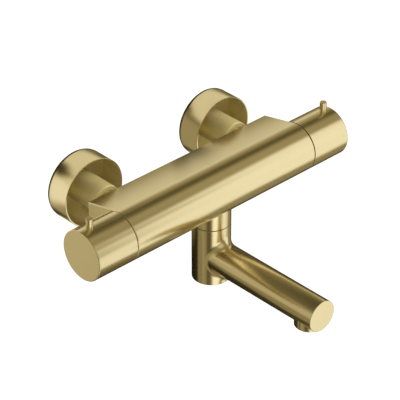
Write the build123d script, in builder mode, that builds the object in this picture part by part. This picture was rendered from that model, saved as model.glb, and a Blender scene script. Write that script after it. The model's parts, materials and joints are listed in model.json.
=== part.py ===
from build123d import *
from math import acos, asin, atan2, cos, degrees, hypot, pi, radians, sin
import os

# A wall mounted bath mixer: a round bar with a flat shelf, a handle at each end and a swivel spout below.
# Millimetres. The origin lies on the wall, midway between the two inlets. X runs along the bar,
# +Y goes into the wall and +Z is up. The bar's axis is level with the origin, in front of the wall.

# Bar
wall_distance = 90.0
inlet_spacing = 150.0
body_diameter = 45.0
body_overhang = 27.5
shelf_depth = 39.5
shelf_height = 14.5
shelf_edge_radius = 0.5
chamber_wall = 6.5
chamber_depth = 54.5

# Water ways in the bar
gallery_radius = 4.5
gallery_back = 26.0
gallery_height = 4.0
port_spacing = 14.0
hot_port_radius = 4.0
inlet_bore_radius = 6.0
mixed_duct_back = 8.0
mixed_duct_height = 7.0
outlet_duct_drop = 9.0
duct_radius = 4.5
hose_duct_drop = 10.0

# Collar and spout
column_diameter = 34.0
collar_drop = 30.7
swivel_gap = 0.6
column_drop = 86.7
column_cavity_radius = 13.0
column_floor = 3.0
spout_drop = 62.2
spout_diameter = 28.5
spout_wall = 1.8
spout_end_wall = 2.5
spout_reach = 131.5
spout_blend = 8.0
spout_edge_radius = 0.4
outlet_inset = 13.9
outlet_diameter = 26.0
outlet_drop = 76.5

# Spout joint
nipple_thread_radius = 10.4
nipple_thread_length = 13.0
nipple_radius = 11.5
nipple_length = 17.8
nipple_bore_radius = 7.0
joint_seal_offset = 4.5
lock_groove_width = 4.4
lock_groove_depth = 1.2
lock_screw_radius = 2.0
lock_screw_sink = 1.0
lock_screw_socket = 2.0
lock_tip_clearance = 0.3
glide_ring_outer_radius = 15.5
glide_ring_slack = 0.05

# Aerator
aerator_radius = 11.0
aerator_length = 10.5
aerator_wall = 1.6
aerator_lip = 1.2
aerator_proud = 0.4
insert_thickness = 6.5
jet_radius = 1.3
jet_pitch = 3.6
jet_rings = 2
seal_thickness = 2.0

# Handles
handle_gap = 0.6
handle_length = 41.0
handle_wall = 2.2
handle_end_wall = 3.1
handle_edge = 0.5
pin_diameter = 6.0
pin_height = 9.5
pin_inset = 9.5
pin_edge = 0.4
pin_thread_radius = 2.5
pin_thread_end_radius = 6.0
insert_disc_length = 14.0
insert_hub_radius = 7.5
insert_hub_length = 15.5

# Cartridges
nut_engagement = 6.5
nut_flange_radius = 18.8
nut_flange_thickness = 1.5
nut_hexagon = 30.0
nut_head_height = 5.5
nut_bore_radius = 6.0
stop_seat_radius = 9.0
stop_ring_thickness = 3.0
stop_ring_radius = 14.0
stop_lug_inner_radius = 13.0
stop_lug_outer_radius = 18.4
stop_lug_length = 6.0
stop_lug_overlap = 2.0
spindle_radius = 4.0
spline_depth = 0.45
spline_teeth = 20
spline_length = 12.0
spindle_screw_radius = 2.0
spindle_screw_depth = 8.0
spindle_screw_head_radius = 3.8
spindle_screw_head_height = 2.6
spindle_screw_socket = 3.0
base_seal_thickness = 2.0
cartridge_wall = 2.5
end_cap_thickness = 3.5
port_groove_depth = 1.2
port_groove_width = 9.0
port_hole_radius = 1.9
port_hole_count = 6
seal_land = 0.5
ring_seal_radius = 0.9
ring_seal_proud = 0.02

# Thermostatic set
spring_seat_thickness = 2.5
spring_seat_bore_radius = 6.5
spring_length = 9.5
spring_radius = 8.5
spring_wire_radius = 0.7
spring_turns = 4.0
sleeve_web = 2.0
sleeve_length = 11.0
sleeve_wall = 2.0
sleeve_hole_radius = 0.95
element_radius = 5.0
element_tail = 6.0
element_head = 8.0
element_flange_radius = 7.5
element_flange_thickness = 2.0
piston_radius = 1.6
piston_length = 5.5
adjuster_hexagon = 13.0
adjuster_length = 9.0
adjuster_floor = 2.0
adjuster_travel_room = 2.0
spindle_flange_radius = 6.5
spindle_flange_thickness = 2.0

# Flow and diverter set
flow_base_thickness = 6.0
disc_thickness = 4.0
disc_slack = 0.1
driver_thickness = 4.0
driver_radius = 11.0
flow_shaft_radius = 5.0
disc_port_radius = 2.6
disc_port_distance = 7.0
disc_ports = 3
channel_half_angle = 45.0

# Inlets
rosette_diameter = 63.0
rosette_wall = 1.2
rosette_floor = 2.0
rosette_back_radius = 5.0
rosette_inner_radius = 2.5
sleeve_diameter = 27.5
nut_gap = 8.3
nut_length = 16.2
sleeve_edge_radius = 1.0
union_thread_radius = 10.48
union_relief_radius = 10.0
thread_chamfer = 0.5
union_tail_length = 12.0
union_nose_length = 8.0
union_bore_radius = 6.4
union_key_hexagon = 12.0
union_key_depth = 10.0
washer_thickness = 2.0
washer_bore_radius = 6.4
neck_radius = 9.2
neck_collar_radius = 10.2
neck_thread_length = 8.0
neck_bore_radius = 7.2
nut_lip = 3.0
check_valve_length = 16.0
check_valve_wall = 1.6
check_valve_core_radius = 1.5
check_valve_web = 1.2
check_valve_webs = 3
poppet_radius = 4.6
poppet_thickness = 2.0

# Hose outlet
hose_distance = 55.0
hose_back = 20.0
hose_boss_radius = 12.5
hose_boss_drop = 24.0
hose_thread_radius = 10.48
hose_thread_length = 9.0
hose_shank_radius = 8.0
hose_shank_length = 9.0
hose_bore_radius = 5.0

# Clearances
thread_clearance = 0.05
running_clearance = 0.05
seat_clearance = 0.1

# Turning ranges in degrees, with the grip pins on top at rest
temperature_low = -150.0
temperature_high = 90.0
flow_low = -90.0
flow_high = 90.0
spout_swing = 90.0
stop_lug_place = 180.0
stop_lug_half_angle = 20.0
stop_play = 1.0

# Places worked out from the sizes above
inlet_x = inlet_spacing / 2
hot_port_x = inlet_x - port_spacing
body_radius = body_diameter / 2
body_end = inlet_x + body_overhang
axis_y = -wall_distance
chamber_radius = body_radius - chamber_wall
chamber_floor = body_end - chamber_depth
column_radius = column_diameter / 2
spout_radius = spout_diameter / 2
spout_top = -collar_drop - swivel_gap
spout_bore_radius = spout_radius - spout_wall
joint_bore_radius = nipple_radius + running_clearance
outlet_reach = spout_reach - outlet_inset
outlet_radius = outlet_diameter / 2
handle_start = body_end + handle_gap
handle_end = handle_start + handle_length
handle_inner_radius = body_radius - handle_wall
insert_end = handle_end - handle_end_wall
insert_disc_start = insert_end - insert_disc_length
insert_radius = handle_inner_radius - seat_clearance
pin_distance = handle_end - pin_inset
insert_hub_start = insert_disc_start - insert_hub_length
cartridge_start = chamber_floor + base_seal_thickness
cartridge_end = body_end - nut_engagement
cartridge_radius = chamber_radius - seat_clearance
cavity_radius = cartridge_radius - cartridge_wall
end_cap_start = cartridge_end - end_cap_thickness
nut_head_end = body_end + nut_head_height
stop_ring_end = nut_head_end + stop_ring_thickness
spindle_end = insert_hub_start + spline_length
spline_root_radius = spindle_radius - spline_depth
groove_floor_radius = cartridge_radius - 2 * ring_seal_radius + ring_seal_proud
groove_half_width = ring_seal_radius + seat_clearance
sleeve_radius = sleeve_diameter / 2
rosette_radius = rosette_diameter / 2
body_back = wall_distance - shelf_depth
sleeve_front = body_back - nut_gap
rosette_depth = sleeve_front - nut_length
nose_end = rosette_depth + union_nose_length
collar_start = nose_end + washer_thickness
nut_lip_start = sleeve_front - nut_lip
neck_end = body_back + neck_thread_length


def along_bar(side=1):
    # Plane on the bar's axis: its x runs from the middle to one end, its y is up
    return Plane(origin=(0, axis_y, 0), x_dir=(side, 0, 0), z_dir=(0, -side, 0))


def across_bar(distance, side=1):
    # Plane across the bar that faces away from its middle: its y is up
    return Plane(origin=(side * distance, axis_y, 0), x_dir=(0, side, 0), z_dir=(side, 0, 0))


def out_of_wall(side):
    # Plane on an inlet's axis: its x runs from the wall to the bar, its y is up
    return Plane(origin=(side * inlet_x, 0, 0), x_dir=(0, -1, 0), z_dir=(-1, 0, 0))


def up_column(x=0.0, back=0.0):
    # Plane on an upright axis: its x is up
    return Plane(origin=(x, axis_y + back, 0), x_dir=(0, 0, 1), z_dir=(0, 1, 0))


def turn(outline, plane, mode=Mode.ADD, arc=360.0):
    # Turns a closed outline of (along, radius) points about the plane's own x axis
    with BuildSketch(plane) as half:
        with BuildLine():
            Polyline(*outline, close=True)
        make_face()
    revolve(half.sketch.faces(), axis=Axis(plane.origin, plane.x_dir), revolution_arc=arc, mode=mode)


def rod(plane, start, end, radius, mode=Mode.ADD):
    # Solid round bar on the plane's x axis
    turn([(start, 0), (end, 0), (end, radius), (start, radius)], plane, mode)


def tube(plane, start, end, outer, inner, mode=Mode.ADD):
    # Ring or tube on the plane's x axis
    turn([(start, inner), (end, inner), (end, outer), (start, outer)], plane, mode)


def hole(x, y, z, direction, radius, depth):
    # Round hole from a point along a direction
    with BuildSketch(Plane(origin=(x, y, z), z_dir=direction)) as mouth:
        Circle(radius)
    extrude(mouth.sketch.faces(), amount=depth, mode=Mode.SUBTRACT)


def hexagon_bar(plane, start, end, across_flats, mode=Mode.ADD):
    # Hexagonal bar on the plane's x axis
    face_plane = Plane(origin=plane.from_local_coords((start, 0, 0)), x_dir=plane.y_dir, z_dir=plane.x_dir)
    with BuildSketch(face_plane) as flats:
        RegularPolygon(across_flats / 2, 6, major_radius=False)
    extrude(flats.sketch.faces(), amount=end - start, mode=mode)


def spline_bar(side, start, end, growth, mode=Mode.ADD):
    # Toothed bar on the bar's axis: points step between the tip and the root radius
    step = 2 * pi / spline_teeth
    points = []
    for tooth in range(spline_teeth):
        for part_of_step, radius in ((0.0, spindle_radius), (0.5, spline_root_radius)):
            angle = (tooth + part_of_step) * step
            points.append(((radius + growth) * cos(angle), (radius + growth) * sin(angle)))
    with BuildSketch(across_bar(start, side)) as teeth:
        with BuildLine():
            Polyline(*points, close=True)
        make_face()
    extrude(teeth.sketch.faces(), amount=end - start, mode=mode)


def lug(side, start, end, middle_angle, half_angle):
    # Stop lug, part of a ring seen from the end of the bar, with its angles counted from straight up
    with BuildSketch(across_bar(start, side)) as sector:
        Circle(stop_lug_outer_radius)
        Circle(stop_lug_inner_radius, mode=Mode.SUBTRACT)
        reach = 2 * stop_lug_outer_radius
        edges = [radians(90 - middle_angle + turn_by * half_angle) for turn_by in (-1, 0, 1)]
        with BuildLine():
            Polyline((0, 0), *[(reach * cos(a), reach * sin(a)) for a in edges], close=True)
        make_face(mode=Mode.INTERSECT)
    extrude(sector.sketch.faces(), amount=end - start)


def seal_ring(plane, place, inner):
    # Round section ring that sits in a groove, with its centre on the plane's x axis
    with BuildSketch(plane) as section:
        with Locations((place, inner + ring_seal_radius)):
            Circle(ring_seal_radius)
    revolve(section.sketch.faces(), axis=Axis(plane.origin, plane.x_dir))


def save(part, name):
    part.label = name
    export_step(part, f"parts/{name}.step")


os.makedirs("parts", exist_ok=True)
names = {1: "right", -1: "left"}
control = {1: "temperature", -1: "flow"}

# Body: bar, shelf and collar in one casting
corner_distance = hypot(shelf_depth, shelf_height)
tangent_angle = atan2(shelf_height, shelf_depth) + acos(body_radius / corner_distance)
tangent_y = body_radius * cos(tangent_angle)
tangent_z = body_radius * sin(tangent_angle)

with BuildPart() as body:
    with BuildSketch(across_bar(-body_end)) as section:
        Circle(body_radius)
        with BuildLine():
            Polyline(
                (tangent_y, tangent_z),
                (shelf_depth, shelf_height),
                (shelf_depth, -shelf_height),
                (tangent_y, -tangent_z),
                close=True,
            )
        make_face()
    extrude(amount=2 * body_end)
    fillet(body.edges().filter_by(Axis.X).group_by(Axis.Y)[-1], shelf_edge_radius)
    rod(up_column(), -collar_drop, 0, column_radius)
    rod(up_column(-hose_distance, hose_back), -hose_boss_drop, 0, hose_boss_radius)
    for side in (1, -1):
        rod(along_bar(side), chamber_floor, body_end, chamber_radius, Mode.SUBTRACT)
        tube_start = body_back - seat_clearance
        rod(out_of_wall(side), tube_start, neck_end, neck_radius + thread_clearance, Mode.SUBTRACT)
    # Cold water goes straight into the temperature chamber, hot water crosses in the gallery
    hole(inlet_x, -body_back, 0, (0, -1, 0), inlet_bore_radius, shelf_depth - duct_radius)
    hole(-inlet_x, -body_back, 0, (0, -1, 0), inlet_bore_radius, shelf_depth - gallery_back)
    gallery_y = axis_y + gallery_back
    gallery_length = inlet_x + hot_port_x
    hole(-inlet_x, gallery_y, gallery_height, (1, 0, 0), gallery_radius, gallery_length)
    hot_port_length = gallery_back - duct_radius
    hole(hot_port_x, gallery_y, gallery_height, (0, -1, 0), hot_port_radius, hot_port_length)
    # Mixed water crosses to the flow chamber and comes back to the spout and the hose outlet
    mixed_y = axis_y + mixed_duct_back
    hole(-chamber_floor, mixed_y, mixed_duct_height, (1, 0, 0), duct_radius, 2 * chamber_floor)
    hole(-chamber_floor, axis_y, -outlet_duct_drop, (1, 0, 0), duct_radius, chamber_floor)
    thread_top = nipple_thread_length - collar_drop
    rod(up_column(), -collar_drop, thread_top, nipple_thread_radius + thread_clearance, Mode.SUBTRACT)
    rod(up_column(), thread_top, duct_radius - outlet_duct_drop, nipple_bore_radius, Mode.SUBTRACT)
    hose_column = up_column(-hose_distance, hose_back)
    shank_top = hose_shank_length - hose_boss_drop
    rod(hose_column, -hose_boss_drop, shank_top, hose_shank_radius + thread_clearance, Mode.SUBTRACT)
    rod(hose_column, shank_top, duct_radius - hose_duct_drop, hose_bore_radius, Mode.SUBTRACT)
    hose_duct_length = hose_back - duct_radius
    hole(-hose_distance, axis_y + hose_back, -hose_duct_drop, (0, -1, 0), duct_radius, hose_duct_length)
save(body.part, "body")

# Hose outlet: a threaded nipple in the boss under the shelf
with BuildPart() as hose_outlet:
    hose_end = -hose_boss_drop - hose_thread_length
    turn(
        [
            (hose_end, hose_bore_radius),
            (shank_top, hose_bore_radius),
            (shank_top, hose_shank_radius),
            (-hose_boss_drop, hose_shank_radius),
            (-hose_boss_drop, hose_thread_radius),
            (hose_end, hose_thread_radius),
        ],
        hose_column,
    )
    chamfer(hose_outlet.edges().group_by(Axis.Z)[0].sort_by(SortBy.RADIUS)[-1], thread_chamfer)
save(hose_outlet.part, "hose_outlet")

# Inlets: rosette, wall union, nut, filter washer, neck and check valve on each side
for side in (1, -1):
    inlet = out_of_wall(side)

    with BuildPart() as rosette:
        cup_radius = rosette_radius - rosette_wall
        hole_radius = union_thread_radius + seat_clearance
        with BuildSketch(inlet) as cup_half:
            with BuildLine():
                Polyline(
                    (0, hole_radius),
                    (0, rosette_radius),
                    (rosette_depth, rosette_radius),
                    (rosette_depth, cup_radius),
                    (rosette_floor, cup_radius),
                    (rosette_floor, hole_radius),
                    close=True,
                )
            make_face()
            corners = cup_half.vertices()
            fillet(corners.sort_by_distance((0, rosette_radius))[0], rosette_back_radius)
            fillet(corners.sort_by_distance((rosette_floor, cup_radius))[0], rosette_inner_radius)
        revolve(cup_half.sketch.faces(), axis=Axis(inlet.origin, inlet.x_dir))
    save(rosette.part, f"rosette_{names[side]}")

    with BuildPart() as wall_union:
        turn(
            [
                (-union_tail_length, 0),
                (nose_end, 0),
                (nose_end, union_thread_radius),
                (rosette_depth, union_thread_radius),
                (rosette_depth, sleeve_radius),
                (rosette_floor, sleeve_radius),
                (rosette_floor, union_relief_radius),
                (0, union_relief_radius),
                (0, union_thread_radius),
                (-union_tail_length, union_thread_radius),
            ],
            inlet,
        )
        chamfer(wall_union.edges().group_by(Axis.Y)[-1], thread_chamfer)
        rod(inlet, -union_tail_length, nose_end, union_bore_radius - seat_clearance, Mode.SUBTRACT)
        hexagon_bar(inlet, nose_end - union_key_depth, nose_end, union_key_hexagon, Mode.SUBTRACT)
    save(wall_union.part, f"wall_union_{names[side]}")

    with BuildPart() as union_nut:
        turn(
            [
                (rosette_depth, union_thread_radius + thread_clearance),
                (nut_lip_start, union_thread_radius + thread_clearance),
                (nut_lip_start, neck_radius + seat_clearance),
                (sleeve_front, neck_radius + seat_clearance),
                (sleeve_front, sleeve_radius),
                (rosette_depth, sleeve_radius),
            ],
            inlet,
        )
        fillet(union_nut.edges().group_by(Axis.Y)[0].sort_by(SortBy.RADIUS)[-1], sleeve_edge_radius)
    save(union_nut.part, f"union_nut_{names[side]}")

    with BuildPart() as filter_washer:
        tube(inlet, nose_end, collar_start, neck_collar_radius, washer_bore_radius)
    save(filter_washer.part, f"filter_washer_{names[side]}")

    with BuildPart() as inlet_neck:
        valve_end = collar_start + check_valve_length
        turn(
            [
                (collar_start, neck_bore_radius),
                (valve_end, neck_bore_radius),
                (valve_end, inlet_bore_radius),
                (neck_end, inlet_bore_radius),
                (neck_end, neck_radius),
                (nut_lip_start, neck_radius),
                (nut_lip_start, neck_collar_radius),
                (collar_start, neck_collar_radius),
            ],
            inlet,
        )
    save(inlet_neck.part, f"inlet_neck_{names[side]}")

    # Check valve: ring, three webs, stem and poppet, one sealed unit that is pushed into the neck
    with BuildPart() as check_valve:
        ring_outer = neck_bore_radius - running_clearance
        ring_inner = ring_outer - check_valve_wall
        tube(inlet, collar_start, valve_end, ring_outer, ring_inner)
        rod(inlet, collar_start, valve_end - poppet_thickness, check_valve_core_radius)
        rod(inlet, collar_start, collar_start + poppet_thickness, poppet_radius)
        web_middle = inlet.from_local_coords((valve_end, 0, 0))
        web_plane = Plane(origin=web_middle, x_dir=(0, 0, 1), z_dir=(0, 1, 0))
        with BuildSketch(web_plane) as webs:
            with PolarLocations(ring_inner / 2, check_valve_webs):
                Rectangle(ring_inner + check_valve_wall, check_valve_web)
        extrude(webs.sketch.faces(), amount=check_valve_length / 2)
    save(check_valve.part, f"check_valve_{names[side]}")

# Handle set: shell, grip pin, splined insert and screw, the same at both ends but for the stop lug
for side in (1, -1):
    bar = along_bar(side)
    low, high = (temperature_low, temperature_high) if side > 0 else (flow_low, flow_high)

    with BuildPart() as handle:
        rod(bar, handle_start, handle_end, body_radius)
        chamfer(handle.edges().sort_by(Axis.X)[-1 if side > 0 else 0], handle_edge)
        rod(bar, handle_start, insert_end, handle_inner_radius, Mode.SUBTRACT)
        hole(side * pin_distance, axis_y, 0, (0, 0, 1), pin_thread_radius + seat_clearance, body_diameter)
    save(handle.part, f"{control[side]}_handle")

    # The pin's root is threaded through the shell into the insert and so holds the handle on
    with BuildPart() as grip_pin:
        upright = up_column(side * pin_distance)
        rod(upright, pin_thread_end_radius, body_radius, pin_thread_radius)
        rod(upright, body_radius, body_radius + pin_height, pin_diameter / 2)
        chamfer(grip_pin.edges().group_by(Axis.Z)[-1], pin_edge)
    save(grip_pin.part, f"{control[side]}_pin")

    # Insert: disc in the shell, hub on the spindle and a lug that meets the stop ring
    with BuildPart() as insert:
        rod(bar, insert_disc_start, insert_end, insert_radius)
        rod(bar, insert_hub_start, insert_disc_start, insert_hub_radius)
        lug_start = stop_ring_end + stop_lug_length - stop_ring_thickness - stop_lug_overlap
        moving_half = stop_lug_place - (high - low) / 2 - stop_lug_half_angle - stop_play
        moving_middle = side * (high + low) / 2
        lug(side, lug_start, insert_disc_start, moving_middle, moving_half)
        spline_bar(side, insert_hub_start, spindle_end + seat_clearance, running_clearance, Mode.SUBTRACT)
        rod(bar, insert_hub_start, insert_end, spindle_screw_radius + seat_clearance, Mode.SUBTRACT)
        screw_seat = insert_disc_start + seat_clearance
        rod(bar, screw_seat, insert_end, spindle_screw_head_radius + seat_clearance, Mode.SUBTRACT)
        hole(side * pin_distance, axis_y, 0, (0, 0, 1), pin_thread_radius + thread_clearance, body_diameter)
    save(insert.part, f"{control[side]}_insert")

    with BuildPart() as spindle_screw:
        rod(bar, spindle_end - spindle_screw_depth, screw_seat, spindle_screw_radius)
        rod(bar, screw_seat, screw_seat + spindle_screw_head_height, spindle_screw_head_radius)
        socket_start = screw_seat + spindle_screw_head_height / 2
        hexagon_bar(bar, socket_start, insert_end, spindle_screw_socket, Mode.SUBTRACT)
    save(spindle_screw.part, f"{control[side]}_screw")

    # Clamping nut: thread in the chamber's mouth, flange, hexagon and seat for the stop ring
    with BuildPart() as clamping_nut:
        rod(bar, cartridge_end, body_end, chamber_radius - thread_clearance)
        rod(bar, body_end, body_end + nut_flange_thickness, nut_flange_radius)
        hexagon_bar(bar, body_end, nut_head_end, nut_hexagon)
        rod(bar, nut_head_end, stop_ring_end, stop_seat_radius)
        rod(bar, cartridge_end, stop_ring_end, nut_bore_radius, Mode.SUBTRACT)
    save(clamping_nut.part, f"{control[side]}_nut")

    with BuildPart() as stop_ring:
        tube(bar, nut_head_end, stop_ring_end, stop_ring_radius, stop_seat_radius + thread_clearance)
        lug_end = nut_head_end + stop_lug_length
        lug(side, nut_head_end, lug_end, stop_lug_place, stop_lug_half_angle)
    save(stop_ring.part, f"{control[side]}_stop_ring")

# Thermostatic cartridge
right_bar = along_bar(1)
spring_start = cartridge_start + spring_seat_thickness
web_start = spring_start + spring_length
web_end = web_start + sleeve_web
sleeve_end = web_start + sleeve_length
flange_end = web_end + element_flange_thickness
element_end = flange_end + element_head
adjuster_start = element_end + piston_length
adjuster_end = adjuster_start + adjuster_length
flange_start = end_cap_start - spindle_flange_thickness
guide_start = sleeve_end + adjuster_travel_room
thread_start = adjuster_start + adjuster_floor + adjuster_travel_room
seal_places = (
    hot_port_x - port_groove_width / 2 - groove_half_width - seal_land,
    (hot_port_x + inlet_x) / 2,
    inlet_x + port_groove_width / 2 + groove_half_width + seal_land,
)

with BuildPart() as thermostat_housing:
    rod(right_bar, cartridge_start, cartridge_end, cartridge_radius)
    rod(right_bar, cartridge_start, guide_start, cavity_radius, Mode.SUBTRACT)
    hexagon_bar(right_bar, guide_start, end_cap_start, adjuster_hexagon + 2 * seat_clearance, Mode.SUBTRACT)
    flange_room = spindle_flange_radius + seat_clearance
    rod(right_bar, flange_start - seat_clearance, end_cap_start, flange_room, Mode.SUBTRACT)
    rod(right_bar, end_cap_start, cartridge_end, spindle_radius + running_clearance, Mode.SUBTRACT)
    for port, row in ((hot_port_x, hot_port_x), (inlet_x, sleeve_end)):
        groove = (port - port_groove_width / 2, port + port_groove_width / 2)
        outer = cartridge_radius + seat_clearance
        tube(right_bar, *groove, outer, cartridge_radius - port_groove_depth, Mode.SUBTRACT)
        for number in range(port_hole_count):
            angle = 2 * pi * number / port_hole_count
            hole(row, axis_y, 0, (0, cos(angle), sin(angle)), port_hole_radius, body_radius)
    for place in seal_places:
        groove = (place - groove_half_width, place + groove_half_width)
        tube(right_bar, *groove, cartridge_radius + seat_clearance, groove_floor_radius, Mode.SUBTRACT)
save(thermostat_housing.part, "thermostat_housing")

with BuildPart() as thermostat_seals:
    for place in seal_places:
        seal_ring(right_bar, place, groove_floor_radius)
save(thermostat_seals.part, "thermostat_seals")

with BuildPart() as thermostat_base_seal:
    tube(right_bar, chamber_floor, cartridge_start, cartridge_radius, cavity_radius)
save(thermostat_base_seal.part, "thermostat_base_seal")

with BuildPart() as spring_seat:
    seat_outer = cavity_radius - running_clearance
    tube(right_bar, cartridge_start, spring_start, seat_outer, spring_seat_bore_radius)
save(spring_seat.part, "spring_seat")

# Return spring: round wire on a helix between the seat and the sleeve's web
wire_room = spring_wire_radius + running_clearance
spring_height = spring_length - 2 * wire_room
spring_axis = across_bar(spring_start + wire_room)
coil = spring_axis.location * Helix(spring_height / spring_turns, spring_height, spring_radius)
with BuildPart() as return_spring:
    with BuildSketch(Plane(origin=coil @ 0, z_dir=coil % 0)) as wire:
        Circle(spring_wire_radius)
    sweep(wire.sketch.faces(), path=coil)
save(return_spring.part, "return_spring")

with BuildPart() as regulating_sleeve:
    sliding_radius = cavity_radius - running_clearance
    rod(right_bar, web_start, sleeve_end, sliding_radius)
    rod(right_bar, web_end, sleeve_end, sliding_radius - sleeve_wall, Mode.SUBTRACT)
    rod(right_bar, web_start, web_end, element_radius + running_clearance, Mode.SUBTRACT)
    with BuildSketch(across_bar(web_start)) as flow_holes:
        with PolarLocations((element_flange_radius + sliding_radius - sleeve_wall) / 2, port_hole_count):
            Circle(sleeve_hole_radius)
    extrude(flow_holes.sketch.faces(), amount=sleeve_web, mode=Mode.SUBTRACT)
save(regulating_sleeve.part, "regulating_sleeve")

# Wax element: body with a flange on the web and a piston that meets the adjusting nut
with BuildPart() as wax_element:
    turn(
        [
            (web_start - element_tail, 0),
            (adjuster_start, 0),
            (adjuster_start, piston_radius),
            (element_end, piston_radius),
            (element_end, element_radius),
            (flange_end, element_radius),
            (flange_end, element_flange_radius),
            (web_end, element_flange_radius),
            (web_end, element_radius),
            (web_start - element_tail, element_radius),
        ],
        right_bar,
    )
save(wax_element.part, "wax_element")

with BuildPart() as adjusting_nut:
    hexagon_bar(right_bar, adjuster_start, adjuster_end, adjuster_hexagon)
    bore_start = adjuster_start + adjuster_floor
    rod(right_bar, bore_start, adjuster_end, spindle_radius + running_clearance, Mode.SUBTRACT)
save(adjusting_nut.part, "adjusting_nut")

with BuildPart() as temperature_spindle:
    rod(right_bar, thread_start, insert_hub_start, spindle_radius)
    rod(right_bar, flange_start, end_cap_start, spindle_flange_radius)
    spline_bar(1, insert_hub_start, spindle_end, 0)
    screw_bottom = spindle_end - spindle_screw_depth
    rod(right_bar, screw_bottom, spindle_end, spindle_screw_radius + thread_clearance, Mode.SUBTRACT)
save(temperature_spindle.part, "temperature_spindle")

# Flow and diverter cartridge
left_bar = along_bar(-1)
discs_start = cartridge_start + flow_base_thickness
slide_face = discs_start + disc_thickness
driver_start = slide_face + disc_thickness
driver_end = driver_start + driver_thickness
disc_radius = cavity_radius - seat_clearance
flow_seal_place = (cartridge_end + driver_end) / 2
port_angles = [90 + 360 * number / disc_ports for number in range(disc_ports)]

with BuildPart() as flow_base:
    rod(left_bar, cartridge_start, discs_start, cartridge_radius)
    with BuildSketch(across_bar(cartridge_start, -1)) as base_ports:
        for angle in port_angles:
            with Locations(Location((0, 0), angle) * Location((disc_port_distance, 0))):
                Circle(disc_port_radius)
    extrude(base_ports.sketch.faces(), amount=flow_base_thickness, mode=Mode.SUBTRACT)
save(flow_base.part, "flow_base")

with BuildPart() as flow_base_seal:
    tube(left_bar, chamber_floor, cartridge_start, cartridge_radius, cavity_radius)
save(flow_base_seal.part, "flow_base_seal")

with BuildPart() as fixed_disc:
    rod(left_bar, discs_start, slide_face, disc_radius)
    with BuildSketch(across_bar(discs_start, -1)) as disc_ports:
        for angle in port_angles:
            with Locations(Location((0, 0), angle) * Location((disc_port_distance, 0))):
                Circle(disc_port_radius)
    extrude(disc_ports.sketch.faces(), amount=disc_thickness, mode=Mode.SUBTRACT)
save(fixed_disc.part, "fixed_disc")

# Moving disc: a blind curved channel joins the inlet port to one of the outlets as it turns
with BuildPart() as moving_disc:
    rod(left_bar, slide_face, driver_start, disc_radius - disc_slack)
    with BuildSketch(across_bar(slide_face, -1)) as channel:
        channel_line = CenterArc((0, 0), disc_port_distance, 90 - channel_half_angle, 2 * channel_half_angle)
        SlotArc(channel_line, 2 * disc_port_radius)
    extrude(channel.sketch.faces(), amount=disc_thickness / 2, mode=Mode.SUBTRACT)
save(moving_disc.part, "moving_disc")

with BuildPart() as flow_spindle:
    rod(left_bar, driver_start, driver_end, driver_radius)
    rod(left_bar, driver_end, end_cap_start, flow_shaft_radius)
    rod(left_bar, end_cap_start, insert_hub_start, spindle_radius)
    spline_bar(-1, insert_hub_start, spindle_end, 0)
    rod(left_bar, screw_bottom, spindle_end, spindle_screw_radius + thread_clearance, Mode.SUBTRACT)
save(flow_spindle.part, "flow_spindle")

with BuildPart() as flow_housing:
    rod(left_bar, discs_start, cartridge_end, cartridge_radius)
    rod(left_bar, discs_start, driver_end + seat_clearance, cavity_radius, Mode.SUBTRACT)
    shaft_room = flow_shaft_radius + running_clearance
    rod(left_bar, driver_end, end_cap_start, shaft_room, Mode.SUBTRACT)
    rod(left_bar, end_cap_start, cartridge_end, spindle_radius + running_clearance, Mode.SUBTRACT)
    groove = (flow_seal_place - groove_half_width, flow_seal_place + groove_half_width)
    tube(left_bar, *groove, cartridge_radius + seat_clearance, groove_floor_radius, Mode.SUBTRACT)
save(flow_housing.part, "flow_housing")

with BuildPart() as flow_seal:
    seal_ring(left_bar, flow_seal_place, groove_floor_radius)
save(flow_seal.part, "flow_seal")

# Spout joint: the nipple screws into the collar and the spout turns on it
column = up_column()
nipple_end = -collar_drop - nipple_length
joint_middle = -collar_drop - nipple_length / 2
joint_groove_radius = nipple_radius - 2 * ring_seal_radius + ring_seal_proud
joint_seal_places = (joint_middle + joint_seal_offset, joint_middle - joint_seal_offset)

with BuildPart() as spout_nipple:
    rod(column, nipple_end, -collar_drop, nipple_radius)
    rod(column, -collar_drop, thread_top, nipple_thread_radius)
    rod(column, nipple_end, thread_top, nipple_bore_radius, Mode.SUBTRACT)
    # The lock groove's two ends stop the screw in the spout
    lock_half = lock_groove_width / 2
    lock_floor = nipple_radius - lock_groove_depth
    groove_half_angle = spout_swing + stop_play + degrees(asin(lock_screw_radius / lock_floor))
    first = radians(90 - groove_half_angle)
    groove_plane = Plane(origin=column.origin, x_dir=(0, 0, 1), z_dir=(-sin(first), cos(first), 0))
    turn(
        [
            (joint_middle - lock_half, lock_floor),
            (joint_middle + lock_half, lock_floor),
            (joint_middle + lock_half, joint_bore_radius),
            (joint_middle - lock_half, joint_bore_radius),
        ],
        groove_plane,
        Mode.SUBTRACT,
        2 * groove_half_angle,
    )
    for place in joint_seal_places:
        groove = (place - groove_half_width, place + groove_half_width)
        tube(column, *groove, joint_bore_radius, joint_groove_radius, Mode.SUBTRACT)
save(spout_nipple.part, "spout_nipple")

with BuildPart() as spout_seals:
    for place in joint_seal_places:
        seal_ring(column, place, joint_groove_radius)
save(spout_seals.part, "spout_seals")

with BuildPart() as glide_ring:
    glide_end = glide_ring_slack - collar_drop - swivel_gap
    tube(column, glide_end, -collar_drop, glide_ring_outer_radius, nipple_radius + seat_clearance)
save(glide_ring.part, "glide_ring")

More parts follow.
